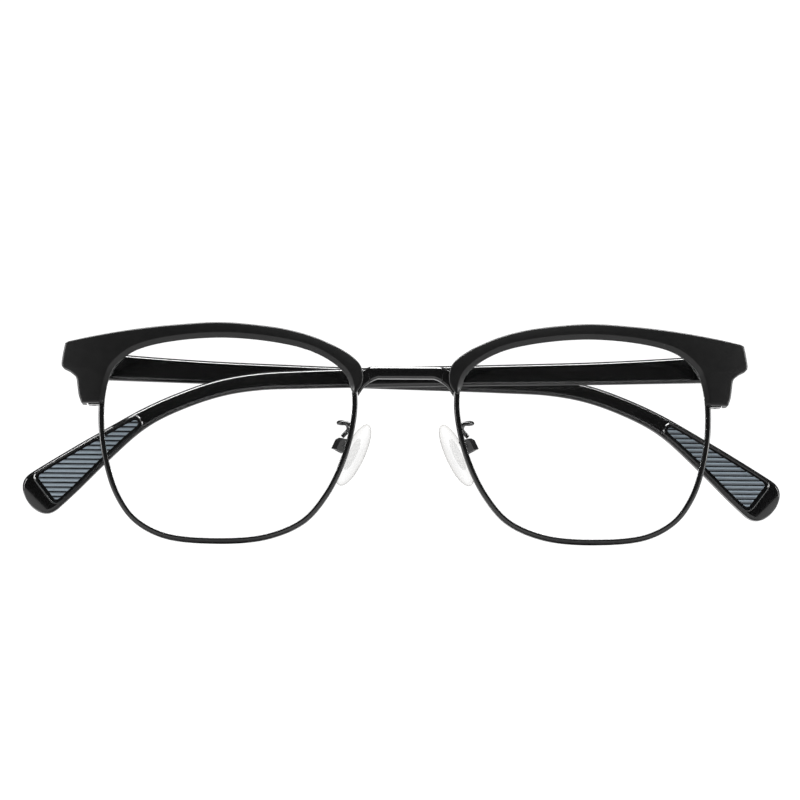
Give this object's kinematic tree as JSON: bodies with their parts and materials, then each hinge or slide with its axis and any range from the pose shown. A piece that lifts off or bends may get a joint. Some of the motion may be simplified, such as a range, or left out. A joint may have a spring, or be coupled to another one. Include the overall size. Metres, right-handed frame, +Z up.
{
  "type": "browline eyeglasses",
  "caption": "Folded browline eyeglasses: thin full rims under thick brow bars, a flat bridge, adjustable nose pads and hinged temples with ribbed grip panels.",
  "frame": {"origin": "centre of the bridge's flat front face", "axes": "+X towards the wearer's left temple, +Y from the front towards the wearer, +Z up"},
  "size_m": [0.1483, 0.0181, 0.0428],
  "materials": {
    "brow_acetate": "satin moulded black",
    "black_metal": "glossy black lacquer",
    "steel": "fine turned",
    "lens_clear": "clear demo lens",
    "pad_silicone": "clear soft",
    "temple_black": "gloss black",
    "insert_rubber": "matte blue-grey, ribbed"
  },
  "bodies": {
    "front": {"bridge": "black_metal", "brow_bar_left": "brow_acetate", "brow_bar_right": "brow_acetate", "rim_left": "black_metal", "rim_right": "black_metal", "lens_left": "lens_clear", "lens_right": "lens_clear", "brow_lug_inner_left": "black_metal", "brow_lug_inner_right": "black_metal", "brow_screw_inner_left": "steel", "brow_screw_inner_right": "steel", "brow_lug_outer_left": "black_metal", "brow_lug_outer_right": "black_metal", "brow_screw_outer_left": "steel", "brow_screw_outer_right": "steel", "rim_lock_upper_left": "black_metal", "rim_lock_upper_right": "black_metal", "hinge_rivet_upper_left": "steel", "hinge_rivet_upper_right": "steel", "rim_lock_lower_left": "black_metal", "rim_lock_lower_right": "black_metal", "hinge_rivet_lower_left": "steel", "hinge_rivet_lower_right": "steel", "rim_screw_left": "steel", "rim_screw_right": "steel", "hinge_front_left": "steel", "hinge_front_right": "steel", "hinge_screw_left": "steel", "hinge_screw_right": "steel", "pad_arm_left": "black_metal", "pad_arm_right": "black_metal", "pad_box_left": "black_metal", "pad_box_right": "black_metal", "pad_screw_left": "steel", "pad_screw_right": "steel"},
    "temple_left": {"temple_left": "temple_black", "hinge_temple_left": "steel", "temple_core_left": "steel", "temple_insert_left": "insert_rubber", "temple_rivet_upper_left": "steel", "temple_rivet_lower_left": "steel"},
    "nose_pad_left": {"nose_pad_left": "pad_silicone"},
    "temple_right": {"temple_right": "temple_black", "hinge_temple_right": "steel", "temple_core_right": "steel", "temple_insert_right": "insert_rubber", "temple_rivet_upper_right": "steel", "temple_rivet_lower_right": "steel"},
    "nose_pad_right": {"nose_pad_right": "pad_silicone"}
  },
  "joints": [
    {"name": "temple_left_hinge", "type": "hinge", "parent": "front", "child": "temple_left", "pos_m": [0.0617, 0.01065, 0.003], "axis": [0, -0.0523, -0.9986], "range_deg": [0, 95]},
    {"name": "temple_right_hinge", "type": "hinge", "parent": "front", "child": "temple_right", "pos_m": [-0.0617, 0.01065, 0.003], "axis": [0, 0.0523, 0.9986], "range_deg": [0, 92.4]},
    {"name": "nose_pad_left_rock", "type": "hinge", "parent": "front", "child": "nose_pad_left", "pos_m": [0.01235, 0.0069, -0.0132], "axis": [0.4255, 0.8829, 0.1984], "range_deg": [-8, 8]},
    {"name": "nose_pad_right_rock", "type": "hinge", "parent": "front", "child": "nose_pad_right", "pos_m": [-0.01235, 0.0069, -0.0132], "axis": [-0.4255, 0.8829, 0.1984], "range_deg": [-8, 8]}
  ]
}
